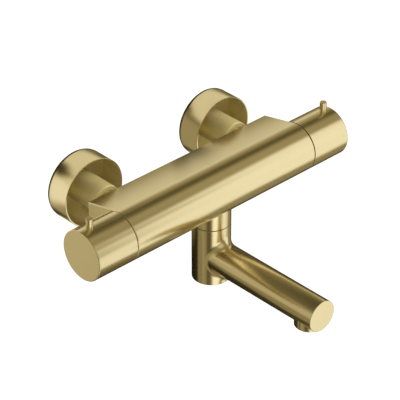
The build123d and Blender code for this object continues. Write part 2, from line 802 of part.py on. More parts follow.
# Spout: column, tube and outlet collar brazed into one
with BuildPart() as spout:
    rod(column, -column_drop, spout_top, column_radius)
    with BuildSketch(Plane(origin=(0, axis_y, -spout_drop), z_dir=(0, -1, 0))) as tube_section:
        Circle(spout_radius)
    extrude(tube_section.sketch.faces(), amount=spout_reach)
    junction = spout.edges().filter_by(lambda e: e.geom_type not in (GeomType.CIRCLE, GeomType.LINE))
    fillet(junction, spout_blend)
    fillet(spout.edges().filter_by(GeomType.CIRCLE).group_by(Axis.Y)[0], spout_edge_radius)
    chamfer(spout.edges().filter_by(GeomType.CIRCLE).group_by(Axis.Z)[0], spout_edge_radius)
    outlet = up_column(0, -outlet_reach)
    rod(outlet, -outlet_drop, -spout_drop, outlet_radius)
    hole(0, axis_y, -spout_drop, (0, -1, 0), spout_bore_radius, spout_reach - spout_end_wall)
    rod(column, nipple_end - seat_clearance, spout_top, joint_bore_radius, Mode.SUBTRACT)
    rod(column, column_floor - column_drop, nipple_end - seat_clearance, column_cavity_radius, Mode.SUBTRACT)
    rod(outlet, -outlet_drop, -spout_drop, aerator_radius + thread_clearance, Mode.SUBTRACT)
    hole(0, axis_y, joint_middle, (0, 1, 0), lock_screw_radius + thread_clearance, body_diameter)
save(spout.part, "spout")

with BuildPart() as lock_screw:
    screw_line = Plane(origin=(0, axis_y, joint_middle), x_dir=(0, 1, 0), z_dir=(1, 0, 0))
    lock_tip = lock_floor + lock_tip_clearance
    lock_head = column_radius - lock_screw_sink
    rod(screw_line, lock_tip, lock_head, lock_screw_radius)
    hexagon_bar(screw_line, lock_head - lock_screw_socket, lock_head, lock_screw_socket, Mode.SUBTRACT)
save(lock_screw.part, "lock_screw")

# Aerator: threaded ring with an inner lip, jet insert and sealing washer
aerator_bottom = -outlet_drop - aerator_proud
aerator_top = aerator_bottom + aerator_length
aerator_inner_radius = aerator_radius - aerator_wall
insert_bottom = aerator_bottom + aerator_lip

with BuildPart() as aerator_ring:
    tube(outlet, aerator_bottom, aerator_top, aerator_radius, aerator_inner_radius)
    tube(outlet, aerator_bottom, insert_bottom, aerator_radius, aerator_inner_radius - aerator_lip)
save(aerator_ring.part, "aerator_ring")

with BuildPart() as aerator_insert:
    insert_outer = aerator_inner_radius - running_clearance
    rod(outlet, insert_bottom, insert_bottom + insert_thickness, insert_outer)
    jet_plane = Plane(origin=(0, axis_y - outlet_reach, insert_bottom), z_dir=(0, 0, 1))
    with BuildSketch(jet_plane) as jets:
        Circle(jet_radius)
        for ring in range(1, jet_rings + 1):
            with PolarLocations(ring * jet_pitch, 6 * ring):
                Circle(jet_radius)
    extrude(jets.sketch.faces(), amount=insert_thickness, mode=Mode.SUBTRACT)
save(aerator_insert.part, "aerator_insert")

with BuildPart() as aerator_seal:
    seal_top = aerator_top + seal_thickness
    tube(outlet, aerator_top, seal_top, aerator_radius, aerator_inner_radius - aerator_lip)
save(aerator_seal.part, "aerator_seal")
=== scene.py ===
import json
import math
import bmesh
import bpy
import numpy as np
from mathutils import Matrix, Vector


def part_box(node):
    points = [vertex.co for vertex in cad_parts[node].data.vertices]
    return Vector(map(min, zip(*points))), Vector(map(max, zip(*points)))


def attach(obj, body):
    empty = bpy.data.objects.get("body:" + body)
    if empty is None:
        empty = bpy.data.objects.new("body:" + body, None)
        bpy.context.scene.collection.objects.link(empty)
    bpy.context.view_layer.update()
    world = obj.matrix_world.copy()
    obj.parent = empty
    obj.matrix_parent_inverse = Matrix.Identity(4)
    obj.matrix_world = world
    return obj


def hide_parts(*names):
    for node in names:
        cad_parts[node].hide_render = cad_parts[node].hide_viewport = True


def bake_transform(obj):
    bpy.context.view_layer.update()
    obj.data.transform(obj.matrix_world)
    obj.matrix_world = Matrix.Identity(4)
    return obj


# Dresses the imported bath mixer: smooth brushed brass surfaces, threads, a studio and the photo's camera.
# Metres, in the CAD's frame: X along the bar, +Y into the wall, +Z up.

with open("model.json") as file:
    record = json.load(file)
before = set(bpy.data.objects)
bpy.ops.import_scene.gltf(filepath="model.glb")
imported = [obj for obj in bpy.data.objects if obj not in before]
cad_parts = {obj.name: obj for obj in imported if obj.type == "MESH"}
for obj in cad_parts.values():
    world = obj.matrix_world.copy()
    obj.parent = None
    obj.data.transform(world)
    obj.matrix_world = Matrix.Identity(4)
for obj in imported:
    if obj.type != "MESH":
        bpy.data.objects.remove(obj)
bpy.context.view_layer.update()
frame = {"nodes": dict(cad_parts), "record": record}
print("frame loaded:", len(frame["nodes"]), "nodes")


def nodeBox(node):
    # Low and high corner of a node's box
    low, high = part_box(node)
    return np.array(low), np.array(high)


# Tools for surfaces

# Angles of a small round edge, the distance under which two points are one, and the least divisor
quarterTurn = np.linspace(0, math.pi / 2, 5)
mergeDistance = 2e-7
tiny = 1e-9


def unit(vector):
    # The vector divided by its length
    return np.asarray(vector, float) / np.linalg.norm(vector)


def towards(turn, height):
    # Direction from the mixer: (sin(turn) * cos(height), -cos(turn) * cos(height), sin(height))
    a, e = np.radians(turn), np.radians(height)
    return np.stack(np.broadcast_arrays(np.sin(a) * np.cos(e), -np.cos(a) * np.cos(e), np.sin(e)), -1)


def roundedOutline(corners, steps=5, hold=0.00015):
    # Outline of straight runs with round corners. Each corner is (along, out, radius). The round one's arc
    # starts and ends radius / tan(half the corner's angle) from it, and a point on each run holds it flat.
    corners = np.array(corners, float)
    points = corners[:, :2]
    outline = []
    for number, (here, radius) in enumerate(zip(points, corners[:, 2])):
        if radius == 0:
            outline.append(here[None])
            continue
        before = unit(points[number - 1] - here)
        after = unit(points[(number + 1) % len(points)] - here)
        half = math.acos(np.clip(before @ after, -1, 1)) / 2
        cut = radius / math.tan(half)
        centre = here + unit(before + after) * radius / math.sin(half)
        first = here + before * cut - centre
        last = here + after * cut - centre
        sweep = math.pi - 2 * half
        part = np.linspace(0, 1, steps + 1)[:, None]
        arc = centre + (np.sin((1 - part) * sweep) * first + np.sin(part * sweep) * last) / math.sin(sweep)
        lead, follow = here + before * (cut + hold), here + after * (cut + hold)
        outline += [lead[None], arc, follow[None]]
    return np.vstack(outline)


def gridFaces(index):
    # Four-sided faces, each between a point, the next one down, across from that and the next one across
    return np.stack([index[:-1, :-1], index[1:, :-1], index[1:, 1:], index[:-1, 1:]], -1).reshape(-1, 4)


def gridPiece(name, grid, closeRows=False, sharpAngle=35):
    # Sheet of four-sided faces through a grid of points, its columns closed to a ring. Seams and poles are
    # merged afterwards
    rows, columns = grid.shape[:2]
    index = np.arange(rows * columns).reshape(rows, columns)
    if closeRows:
        index = np.vstack([index, index[:1]])
    index = np.hstack([index, index[:, :1]])
    return meshPiece(name, grid.reshape(-1, 3), gridFaces(index), sharpAngle)


def meshPiece(name, points, faces, sharpAngle=35):
    # Smooth object with near points merged, faces turned outwards and sharp edges above an angle
    mesh = bpy.data.meshes.new(name)
    mesh.from_pydata(points.tolist(), [], faces.tolist())
    work = bmesh.new()
    work.from_mesh(mesh)
    bmesh.ops.remove_doubles(work, verts=work.verts, dist=mergeDistance)
    bmesh.ops.recalc_face_normals(work, faces=work.faces)
    work.to_mesh(mesh)
    work.free()
    mesh.shade_smooth()
    mesh.set_sharp_from_angle(angle=math.radians(sharpAngle))
    piece = bpy.data.objects.new(name, mesh)
    bpy.context.scene.collection.objects.link(piece)
    return piece


def turnedPiece(name, outline, origin, along, out, count, closed=True):
    # Outline (distance along the axis, radius) turned about the axis: point = origin + along * distance
    # + radius * (out * cos(angle) + side * sin(angle))
    along, out = unit(along), unit(out)
    side = np.cross(along, out)
    angle = np.linspace(0, 2 * math.pi, count, endpoint=False)
    ring = np.cos(angle)[:, None] * out + np.sin(angle)[:, None] * side
    grid = np.asarray(origin) + outline[:, None, :1] * along + outline[:, None, 1:] * ring[None]
    return gridPiece(name, grid, closeRows=closed)


def finishPiece(piece, body, material, slot, *nodes):
    # Gives a piece its finish and body, and hides the nodes that it stands in for. The slot is not used
    piece.data.materials.append(material)
    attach(piece, body)
    if nodes:
        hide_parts(*nodes)


# Materials

# Brushed finishes: colour, roughness, how metallic, and the grain's scale across the brushing. Along is its
# scale along the brushing, swing what it adds to the roughness, lift and liftHeight what its lines stand up
brushed = {
    "brass": ((0.79, 0.695, 0.46), 0.21, 1, 700),
    # The inner brass is a darker, half-metal copy of the brass for the covers' hollows and the unions in
    # them: painted shade of the recess
    "shadedInnerBrass": ((0.64, 0.54, 0.24), 0.36, 0.5, 500),
    "along": 12,
    "detail": 4,
    "swing": 0.03,
    "lift": 0.14,
    "liftHeight": 0.0001,
}
# Plain finishes: colour, roughness, how metallic. Scale and swing are the mottle's
plain = {
    "turnedBrass": ((0.77, 0.64, 0.36), 0.3, 1),
    "turnedSteel": ((0.58, 0.57, 0.55), 0.28, 1),
    "darkPlastic": ((0.035, 0.035, 0.038), 0.5, 0),
    "paleCeramic": ((0.82, 0.8, 0.74), 0.25, 0),
    "blackRubber": ((0.02, 0.02, 0.02), 0.7, 0),
    "scale": 600,
    "swing": 0.05,
}


def newMaterial(name, colour, metallic):
    # Material with one shader, its colour and how metallic it is
    material = bpy.data.materials.new(name)
    material.use_nodes = True
    tree = material.node_tree
    shader = tree.nodes["Principled BSDF"]
    shader.inputs["Base Color"].default_value = (*colour, 1)
    shader.inputs["Metallic"].default_value = metallic
    return material, tree, shader


def brushedBrass(name, finish, acrossAxis, settings):
    # Satin brass: a noise that is fine across the brushing and drawn out along it lifts fine lines and
    # varies the roughness by swing to either side
    colour, roughness, metallic, across = settings[finish]
    grainScale = [settings["along"]] * 3
    grainScale[acrossAxis] = across
    material, tree, shader = newMaterial(name, colour, metallic)
    place = tree.nodes.new("ShaderNodeTexCoord")
    stretch = tree.nodes.new("ShaderNodeMapping")
    stretch.inputs["Scale"].default_value = grainScale
    grain = tree.nodes.new("ShaderNodeTexNoise")
    grain.inputs["Scale"].default_value = 1
    grain.inputs["Detail"].default_value = settings["detail"]
    vary = tree.nodes.new("ShaderNodeMapRange")
    vary.inputs["To Min"].default_value = roughness - settings["swing"]
    vary.inputs["To Max"].default_value = roughness + settings["swing"]
    lift = tree.nodes.new("ShaderNodeBump")
    lift.inputs["Strength"].default_value = settings["lift"]
    lift.inputs["Distance"].default_value = settings["liftHeight"]
    tree.links.new(place.outputs["Object"], stretch.inputs["Vector"])
    tree.links.new(stretch.outputs["Vector"], grain.inputs["Vector"])
    tree.links.new(grain.outputs["Fac"], vary.inputs["Value"])
    tree.links.new(vary.outputs["Result"], shader.inputs["Roughness"])
    tree.links.new(grain.outputs["Fac"], lift.inputs["Height"])
    tree.links.new(lift.outputs["Normal"], shader.inputs["Normal"])
    return material


def plainFinish(name, settings):
    # Even finish with a faint mottle, which varies the roughness by swing to either side
    colour, roughness, metallic = settings[name]
    material, tree, shader = newMaterial(name, colour, metallic)
    place = tree.nodes.new("ShaderNodeTexCoord")
    noise = tree.nodes.new("ShaderNodeTexNoise")
    noise.inputs["Scale"].default_value = settings["scale"]
    vary = tree.nodes.new("ShaderNodeMapRange")
    vary.inputs["To Min"].default_value = roughness - settings["swing"]
    vary.inputs["To Max"].default_value = roughness + settings["swing"]
    tree.links.new(place.outputs["Object"], noise.inputs["Vector"])
    tree.links.new(noise.outputs["Fac"], vary.inputs["Value"])
    tree.links.new(vary.outputs["Result"], shader.inputs["Roughness"])
    return material


brassAcrossX = brushedBrass("brassAcrossX", "brass", 0, brushed)
brassAcrossY = brushedBrass("brassAcrossY", "brass", 1, brushed)
brassAcrossZ = brushedBrass("brassAcrossZ", "brass", 2, brushed)
# Darker brass for the hollows, which paints the shade of the recess
shadedInnerBrass = brushedBrass("shadedInnerBrass", "shadedInnerBrass", 1, brushed)
turnedBrass = plainFinish("turnedBrass", plain)
turnedSteel = plainFinish("turnedSteel", plain)

slotFinish = {
    "brushed_brass": brassAcrossX,
    "machined_brass": turnedBrass,
    "stainless_steel": turnedSteel,
    "dark_plastic": plainFinish("darkPlastic", plain),
    "ceramic": plainFinish("paleCeramic", plain),
    "rubber": plainFinish("blackRubber", plain),
}
for part in frame["record"]["subparts"]:
    node = frame["nodes"][part["node"]]
    node.data.materials.clear()
    node.data.materials.append(slotFinish[part["material_slot"]])
print("materials made")

# Places from the frame

bodyLow, bodyHigh = nodeBox("body")
handleLow, handleHigh = nodeBox("temperature_handle")
spoutLow, spoutHigh = nodeBox("spout")
barRadius = (handleHigh[1] - handleLow[1]) / 2
axisY = (handleHigh[1] + handleLow[1]) / 2
barEnd = bodyHigh[0]
barAxis = np.array([0, axisY, 0])

# Bar and shelf

# Hold is a short straight run beside an arc, which keeps the shading of the long face flat. The end face is
# drawn together to faceCentre in steps
bar = {
    "shelfCorner": 0.0145,
    "backEdge": 0.0006,
    "endEdge": 0.0006,
    "hold": 0.0004,
    "faceCentre": (0.004, 0),
    "faceSteps": (0.99, 0.5, 0),
    "arcCount": 96,
}


def barSection(settings):
    # Circle that runs into two straight flanks, which meet a flat back with small round edges
    back = bodyHigh[1] - axisY
    rise, edge, hold = settings["shelfCorner"], settings["backEdge"], settings["hold"]
    tangent = math.atan2(rise, back) + math.acos(barRadius / math.hypot(back, rise))
    angle = np.linspace(tangent, 2 * math.pi - tangent, settings["arcCount"])
    circle = barRadius * np.stack([np.cos(angle), np.sin(angle)], 1)
    corners = [(*circle[-1], 0), (back, -rise, edge), (back, rise, edge), (*circle[0], 0)]
    flanks = roundedOutline(corners)[1:-1]
    lastRun = unit(flanks[0] - circle[-1]) * hold + circle[-1]
    firstRun = unit(flanks[-1] - circle[0]) * hold + circle[0]
    return np.vstack([circle, lastRun[None], flanks, firstRun[None]])


def barPiece(settings):
    # The section carried along the bar. Near each end, while the edge turns, it is set in by
    # edge * (1 - cos(turn)) at end - edge * (1 - sin(turn)), against its outward direction, which is a
    # quarter turn from its run. The end face is drawn together to a point
    section = barSection(settings)
    following = np.roll(section, -1, 0) - section
    incoming = section - np.roll(section, 1, 0)
    direction = following / np.linalg.norm(following, axis=1)[:, None]
    direction += incoming / np.linalg.norm(incoming, axis=1)[:, None]
    direction /= np.linalg.norm(direction, axis=1)[:, None]
    outward = np.stack([direction[:, 1], -direction[:, 0]], 1)
    edge = settings["endEdge"]
    inset = np.concatenate([[0], edge * (1 - np.cos(quarterTurn))])
    place = np.concatenate([[barEnd - edge - settings["hold"]], barEnd - edge * (1 - np.sin(quarterTurn))])
    rims = section[None] - inset[:, None, None] * outward[None]
    faceCentre = np.array(settings["faceCentre"])
    face = faceCentre + (rims[-1] - faceCentre) * np.array(settings["faceSteps"])[:, None, None]
    half = np.vstack([rims, face])
    halfPlace = np.concatenate([place, [barEnd] * len(face)])
    rows = np.vstack([half[::-1], half])
    places = np.concatenate([-halfPlace[::-1], halfPlace])
    grid = np.empty((*rows.shape[:2], 3))
    grid[..., 0] = places[:, None]
    grid[..., 1:] = rows
    grid[..., 1] += axisY
    return gridPiece("barShell", grid)


finishPiece(barPiece(bar), "mixer", brassAcrossX, "brushed_brass", "body")

collar = {"start": -0.01, "edge": 0.0002, "count": 128}
hoseBoss = {"radius": 0.0125, "drop": 0.024, "across": -0.055, "back": 0.02, "edge": 0.0004, "count": 64}
spoutRadius = spoutHigh[0]


def stubPiece(name, centre, start, end, radius, settings):
    # Short round stub below the bar, with a small round edge at its lower end
    corners = [(start, 0, 0), (start, radius, 0), (end, radius, settings["edge"]), (end, 0, 0)]
    outline = roundedOutline(corners)
    piece = turnedPiece(name, outline, centre, (0, 0, 1), (1, 0, 0), closed=False, count=settings["count"])
    finishPiece(piece, "mixer", brassAcrossZ, "brushed_brass", "body")


bossPlace = barAxis + [hoseBoss["across"], hoseBoss["back"], 0]
stubPiece("collarShell", barAxis, collar["start"], bodyLow[2], spoutRadius, collar)
stubPiece("hoseBoss", bossPlace, 0, -hoseBoss["drop"], hoseBoss["radius"], hoseBoss)
print("bar made")

# Handles with their grip pins

handle = {
    "wall": 0.0022,
    "endWall": 0.0031,
    "outerEdge": 0.0008,
    "innerEdge": 0.0002,
    "pinEdge": 0.0004,
    "pinSink": 0.0006,
    "count": 160,
    "pinCount": 64,
}


def handlePiece(side, control, settings):
    # Shell turned about the bar's axis: outer wall, flat end and the hollow behind it
    low, high = nodeBox(f"{control}_handle")
    start, end = sorted(abs(np.array([low[0], high[0]])))
    inner = barRadius - settings["wall"]
    outline = roundedOutline([
        (start, inner, 0),
        (start, barRadius, settings["innerEdge"]),
        (end, barRadius, settings["outerEdge"]),
        (end, 0, 0),
        (end - settings["endWall"], 0, 0),
        (end - settings["endWall"], inner, 0),
    ])
    count = settings["count"]
    piece = turnedPiece(f"{control}HandleShell", outline, barAxis, (side, 0, 0), (0, 0, 1), count=count)
    finishPiece(piece, f"{control}_control", brassAcrossX, "brushed_brass", f"{control}_handle")


def pinPiece(control, settings):
    # Plain round pin that starts just inside the shell, with a small round edge on top
    low, high = nodeBox(f"{control}_pin")
    radius = (high[0] - low[0]) / 2
    centre = np.array([(low[0] + high[0]) / 2, axisY, 0])
    foot, top = barRadius - settings["pinSink"], high[2]
    corners = [(foot, 0, 0), (foot, radius, 0), (top, radius, settings["pinEdge"]), (top, 0, 0)]
    outline = roundedOutline(corners)
    up, out, count = (0, 0, 1), (1, 0, 0), settings["pinCount"]
    piece = turnedPiece(f"{control}GripPin", outline, centre, up, out, closed=False, count=count)
    finishPiece(piece, f"{control}_control", brassAcrossZ, "brushed_brass", f"{control}_pin")


for side, control in ((1, "temperature"), (-1, "flow")):
    handlePiece(side, control, handle)
    pinPiece(control, handle)
print("handles made")

# Spout: column, tube and the rolling-ball blend between them

# TubeHold and faceHold are short runs that keep the tube and its end face flat beside the round edge.
# TubeStart is the share of the tube's length at which its next ring lies, and a columnSpread above 1 sets
# the column's rings closer near the mouth
spout = {
    "tubeRadius": 0.01425,
    "tubeDrop": 0.0622,
    "blend": 0.008,
    "endEdge": 0.0004,
    "topEdge": 0.0002,
    "bottomEdge": 0.0004,
    "outletReach": 0.1176,
    "outletDrop": 0.0765,
    "outletRadius": 0.013,
    "outletEdge": 0.0003,
    "outletSink": 0.002,
    "outletGap": 0.00005,
    "outletCount": 128,
    "bore": 0.0116,
    "boreDepth": 0.01,
    "tubeHold": 0.0003,
    "faceHold": 0.0002,
    "tubeStart": 0.15,
    "tubeSteps": 8,
    "fineSteps": 4001,
    "blendSteps": 17,
    "columnSteps": 25,
    "columnSpread": 1.3,
    "count": 192,
}


def junctionRays(settings, top, bottom, column):
    # Even angles round the tube's axis, and those of the unrolled column's four corners
    wide = math.pi * column
    corners = [math.atan2(z, x) for x in (-wide, wide) for z in (top, bottom)]
    even = np.linspace(-math.pi, math.pi, settings["count"], endpoint=False)
    return np.unique(np.concatenate([even, corners]))


def spoutPiece(settings):
    # A ball of the blend's radius rolls in the corner between tube and column. Its centre keeps
    # column + blend from the column's axis and tube + blend from the tube's, so for an angle round
    # the tube: x = (tube + blend) sin, z = (tube + blend) cos and y = -sqrt((column + blend)^2 - x^2)
    tube, blend, column = settings["tubeRadius"], settings["blend"], spoutRadius
    level = -settings["tubeDrop"]
    top, bottom = spoutHigh[2] - level, spoutLow[2] - level
    far, near = tube + blend, column + blend

    # The rays are even where they leave the mouth on the unrolled column, so each one's angle round the
    # tube is looked up among finer steps
    fine = np.linspace(-math.pi, math.pi, settings["fineSteps"])
    ballX, ballZ = far * np.sin(fine), far * np.cos(fine)
    mouth = np.unwrap(np.arctan2(ballZ, column * np.arcsin(ballX / near)))
    rays = junctionRays(settings, top, bottom, column)
    shift = 2 * math.pi * np.floor((mouth.max() - rays) / (2 * math.pi))
    order = np.argsort(mouth)
    angle = np.interp(rays + shift, mouth[order], fine[order])
    sine, cosine = np.sin(angle), np.cos(angle)
    ball = np.stack([far * sine, -np.sqrt(near ** 2 - (far * sine) ** 2), far * cosine], 1)
    onTube = np.stack([tube * sine, ball[:, 1], tube * cosine], 1)
    onColumn = ball * np.array([column / near, column / near, 1])

    # Tube with its round end edge and flat end face
    end = spoutLow[1] - axisY
    edge, turn = settings["endEdge"], quarterTurn[::-1]
    flat, start = tube - edge - settings["faceHold"], end + edge + settings["tubeHold"]
    radii = np.concatenate([[0, flat], tube - edge * (1 - np.cos(turn)), [tube]])
    places = np.concatenate([[end, end], end + edge * (1 - np.sin(turn)), [start]])
    tubeRows = np.stack([radii[:, None] * sine, places[:, None] + 0 * sine, radii[:, None] * cosine], -1)
    along = np.linspace(settings["tubeStart"], 1, settings["tubeSteps"])[:, None, None]
    tubeRows = np.concatenate([tubeRows, tubeRows[-1] + (onTube - tubeRows[-1]) * along])

    # Blend: the ball's surface from its contact with the tube to its contact with the column
    first, last = (onTube - ball) / blend, (onColumn - ball) / blend
    sweep = np.arccos(np.clip(np.sum(first * last, 1), -1, 1))[:, None]
    part = np.linspace(0, 1, settings["blendSteps"])[1:, None, None]
    arc = (np.sin((1 - part) * sweep) * first + np.sin(part * sweep) * last) / np.sin(sweep)
    blendRows = ball + blend * arc

    # Column, unrolled round the mouth: each ray runs on to the edge of the unrolled sheet
    sheetX = column * np.arctan2(onColumn[:, 0], -onColumn[:, 1])
    sheetZ = onColumn[:, 2]
    sideReach = math.pi * column / np.maximum(np.abs(sheetX), tiny)
    endReach = np.where(sheetZ > 0, top - settings["topEdge"], bottom + settings["bottomEdge"]) / sheetZ
    spread = np.linspace(0, 1, settings["columnSteps"])[1:, None] ** settings["columnSpread"]
    grow = 1 + (np.minimum(sideReach, endReach) - 1) * spread
    turnRound, height = grow * sheetX / column, grow * sheetZ
    columnRows = np.stack([column * np.sin(turnRound), -column * np.cos(turnRound), height], -1)

    grid = np.concatenate([tubeRows, blendRows, columnRows])
    grid += [0, axisY, level]
    return gridPiece("spoutShell", grid)


def columnEnd(name, end, edge, inside, settings):
    # Round edge at end - edge * (1 - sin(turn)), radius - size * (1 - cos(turn)), then the end face as far
    # as what is inside. A positive edge turns up to the end, a negative one down to it
    size = abs(edge)
    places = end - edge * (1 - np.sin(quarterTurn))
    radii = spoutRadius - size * (1 - np.cos(quarterTurn))
    face = [[end, spoutRadius - size - settings["faceHold"]]]
    outline = np.vstack([np.stack([places, radii], 1), face, inside])
    return turnedPiece(name, outline, barAxis, (0, 0, 1), (1, 0, 0), closed=False, count=settings["count"])


def spoutEnds(settings):
    # The column's ends, which the unrolled sheet leaves open: a bore above, a closed face below
    top, bottom, bore = spoutHigh[2], spoutLow[2], settings["bore"]
    mouth = [[top, bore], [top - settings["boreDepth"], bore]]
    return (
        columnEnd("spoutTopEdge", top, settings["topEdge"], mouth, settings),
        columnEnd("spoutBottomEdge", bottom, -settings["bottomEdge"], [[bottom, 0]], settings),
    )


def outletPiece(settings):
    # Ring below the tube's end that holds the aerator, with a small round edge
    radius, drop = settings["outletRadius"], -settings["outletDrop"]
    low, high = nodeBox("aerator_ring")
    bore = (high[0] - low[0]) / 2 + settings["outletGap"]
    inside = -settings["tubeDrop"] - settings["outletSink"]
    outline = roundedOutline([
        (inside, bore, 0),
        (inside, radius, 0),
        (drop, radius, settings["outletEdge"]),
        (drop, bore, 0),
    ])
    centre = barAxis + [0, -settings["outletReach"], 0]
    return turnedPiece("outletRing", outline, centre, (0, 0, 1), (1, 0, 0), count=settings["outletCount"])


finishPiece(spoutPiece(spout), "swivel_spout", brassAcrossY, "brushed_brass", "spout")
for endPiece in spoutEnds(spout):
    finishPiece(endPiece, "swivel_spout", brassAcrossZ, "brushed_brass", "spout")
finishPiece(outletPiece(spout), "swivel_spout", brassAcrossZ, "brushed_brass", "spout")
frame["nodes"]["aerator_ring"].data.materials[0] = brassAcrossZ
print("spout made")

# Wall covers, unions and nuts

cover = {
    "wall": 0.0012,
    "floor": 0.002,
    "hole": 0.0106,
    "backEdge": 0.005,
    "innerEdge": 0.0003,
    "rimEdge": 0.0002,
    "count": 160,
}
# SeamFace holds the nut's face at the seam flat, threadGap is the plain run at the sleeve's tail
union = {
    "boreRadius": 0.0063,
    "neckHole": 0.0093,
    "seamEdge": 0.00015,
    "seamFace": 0.001,
    "frontEdge": 0.001,
    "tailEdge": 0.0003,
    "threadGap": 0.001,
    "count": 96,
}
# Aside is any direction that crosses a thread's axis, and the thread starts from there
thread = {
    "radius": 0.01048,
    "pitch": 0.00181,
    "depth": 0.0009,
    "steps": 14,
    "count": 72,
    "aside": (0.3, 0.4, 0.87),
    "sharpAngle": 80,
}


def coverPiece(name, settings):
    # Hollow round cover turned about the inlet's axis, open towards the bar
    low, high = nodeBox(f"rosette_{name}")
    radius, depth = (high[0] - low[0]) / 2, high[1] - low[1]
    centre = np.array([(high[0] + low[0]) / 2, high[1], 0])
    inner, floor, rim = radius - settings["wall"], settings["floor"], settings["rimEdge"]
    outline = roundedOutline([
        (0, settings["hole"], 0),
        (0, radius, settings["backEdge"]),
        (depth, radius, rim),
        (depth, inner, rim),
        (floor, inner, settings["innerEdge"]),
        (floor, settings["hole"], 0),
    ])
    piece = turnedPiece(f"{name}WallCover", outline, centre, (0, -1, 0), (0, 0, 1), count=settings["count"])
    finishPiece(piece, "mixer", brassAcrossY, "brushed_brass", f"rosette_{name}")
    # The hollow's faces get the darker brass, painted shade of the recess
    paintInside(piece, shadedInnerBrass, centre, inner + rim / 2, floor / 2)


def paintInside(piece, material, centre, radius, floor):
    # Second material on the faces whose middle lies inside the radius and in front of the floor
    piece.data.materials.append(material)
    middle = np.empty(len(piece.data.polygons) * 3)
    piece.data.polygons.foreach_get("center", middle)
    middle = middle.reshape(-1, 3) - centre
    inside = (np.hypot(middle[:, 0], middle[:, 2]) < radius) & (middle[:, 1] < -floor)
    piece.data.polygons.foreach_set("material_index", inside.astype(np.int32))


def unionPieces(name, settings):
    # The union's sleeve and the nut in front of it, one diameter with a fine seam between them
    nutLow, nutHigh = nodeBox(f"union_nut_{name}")
    unionLow, unionHigh = nodeBox(f"wall_union_{name}")
    radius = (nutHigh[0] - nutLow[0]) / 2
    centre = np.array([(nutHigh[0] + nutLow[0]) / 2, 0, 0])
    seam, front, nose, tail = -nutHigh[1], -nutLow[1], -unionLow[1], -unionHigh[1]
    bore, neck, edge = settings["boreRadius"], settings["neckHole"], settings["seamEdge"]
    crest, root, floor = thread["radius"], thread["radius"] - thread["depth"], cover["floor"]
    sleeve = roundedOutline([
        (tail, bore, 0),
        (tail, root, settings["tailEdge"]),
        (floor, root, 0),
        (floor, radius, 0),
        (seam, radius, edge),
        (seam, crest, 0),
        (nose, crest, 0),
        (nose, bore, 0),
    ])
    nut = roundedOutline([
        (seam, radius - settings["seamFace"], 0),
        (seam, radius, edge),
        (front, radius, settings["frontEdge"]),
        (front, neck, 0),
        (seam, neck, 0),
    ])
    out, up, count = (0, -1, 0), (0, 0, 1), settings["count"]
    sleevePiece = turnedPiece(f"{name}UnionSleeve", sleeve, centre, out, up, count=count)
    nutPiece = turnedPiece(f"{name}UnionNut", nut, centre, out, up, count=count)
    start = tail + settings["threadGap"]
    threadPiece = threadedPiece(f"{name}UnionThread", centre, out, start, 0.0, crest, thread)
    # Sleeve and nut sit in the hollow and get the darker brass, painted shade of the recess
    finishPiece(sleevePiece, "mixer", shadedInnerBrass, "brushed_brass", f"wall_union_{name}")
    finishPiece(nutPiece, "mixer", shadedInnerBrass, "brushed_brass", f"union_nut_{name}")
    finishPiece(threadPiece, "mixer", turnedBrass, "machined_brass")


def threadedPiece(name, origin, along, start, end, radius, settings):
    # Pipe thread: radius - depth * wave, where wave = 0.5 - 0.5 * cos(2 pi * distance / pitch - angle). It
    # runs out to radius - depth over the first and last pitch
    pitch, depth = settings["pitch"], settings["depth"]
    distance = np.linspace(start, end, int((end - start) / pitch * settings["steps"]))
    angle = np.linspace(0, 2 * math.pi, settings["count"], endpoint=False)
    wave = 0.5 - 0.5 * np.cos(2 * math.pi * distance[:, None] / pitch - angle[None])
    fade = np.clip(np.minimum(distance - start, end - distance) / pitch, 0, 1)[:, None]
    radii = radius - depth * (1 - (1 - wave) * fade)
    along = unit(along)
    out = unit(np.cross(along, settings["aside"]))
    side = np.cross(along, out)
    ring = np.cos(angle)[:, None] * out + np.sin(angle)[:, None] * side
    grid = np.asarray(origin) + distance[:, None, None] * along + radii[..., None] * ring[None]
    return gridPiece(name, grid, sharpAngle=settings["sharpAngle"])


for name in ("right", "left"):
    coverPiece(name, cover)
    unionPieces(name, union)
print("wall side made")

# Hose outlet below the bar and the return spring inside it

hoseOutlet = {"shankRadius": 0.008, "boreRadius": 0.005, "edge": 0.0003, "count": 96}
spring = {"wireRadius": 0.0007, "turns": 4, "turnSteps": 64, "wireSteps": 20}


def hosePieces(settings):
    # Nipple turned about its upright axis, with a pipe thread on the part below the boss
    low, high = nodeBox("hose_outlet")
    radius = (high[0] - low[0]) / 2
    centre = np.array([(high[0] + low[0]) / 2, (high[1] + low[1]) / 2, 0])
    root = radius - thread["depth"]
    boss, edge = hoseBoss["drop"], settings["edge"]
    bore, shank = settings["boreRadius"], settings["shankRadius"]
    outline = roundedOutline([
        (-high[2], bore, 0),
        (-high[2], shank, 0),
        (boss, shank, 0),
        (boss, root, 0),
        (-low[2], root, edge),
        (-low[2], bore, 0),
    ])
    nipple = turnedPiece("hoseNipple", outline, centre, (0, 0, -1), (1, 0, 0), count=settings["count"])
    ridges = threadedPiece("hoseThread", centre, (0, 0, -1), boss + edge, -low[2] - edge, radius, thread)
    finishPiece(nipple, "mixer", brassAcrossZ, "brushed_brass", "hose_outlet")
    finishPiece(ridges, "mixer", turnedBrass, "machined_brass")


